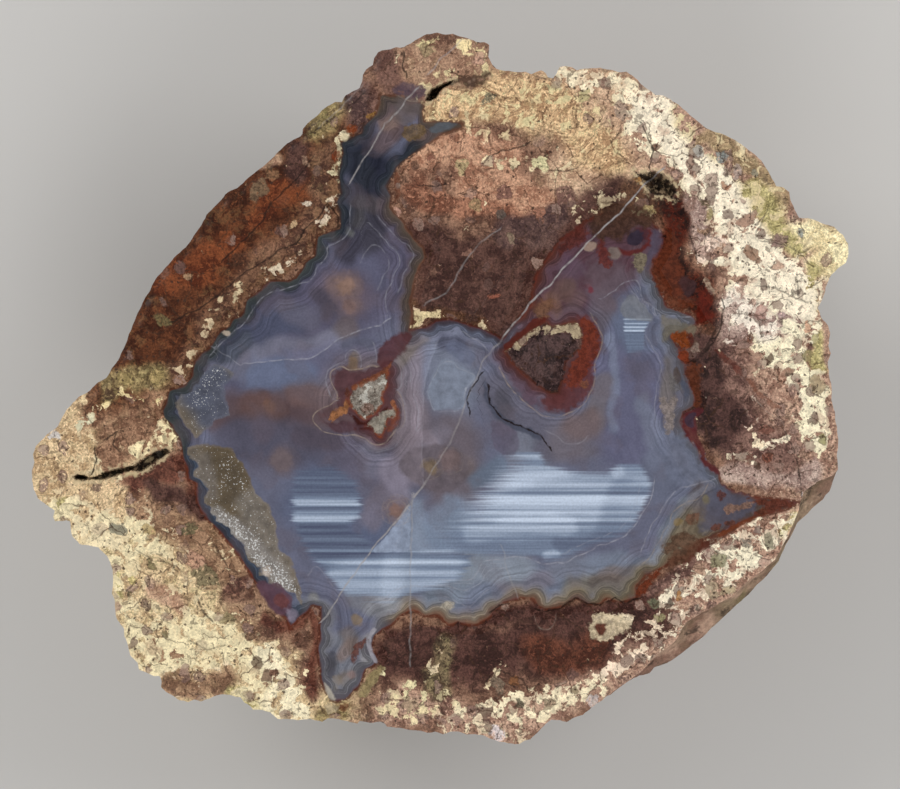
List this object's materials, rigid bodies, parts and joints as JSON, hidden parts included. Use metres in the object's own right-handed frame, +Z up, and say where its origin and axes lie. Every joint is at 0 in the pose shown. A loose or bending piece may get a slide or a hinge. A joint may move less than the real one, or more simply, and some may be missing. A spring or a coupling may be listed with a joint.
{
  "type": "agate nodule",
  "caption": "Cut and polished half of an agate nodule: rock shell around a banded agate hollow filling, flat cut face up, lumpy rounded back with a small flat spot to rest on.",
  "frame": {"origin": "middle of the nodule's bounding box in plan, at the height of the flat spot that it rests on", "axes": "+Z up out of the polished cut face, +X along the longest width of the cut face, +Y across it, towards the small knob with the crevice"},
  "size_m": [0.12, 0.1043, 0.046],
  "materials": {
    "agate_stone": "polished cut face of blue-grey banded agate in rust, salmon and cream rock, with a rough weathered tan rind"
  },
  "bodies": {
    "root": {"agate_nodule": "agate_stone"}
  },
  "joints": []
}
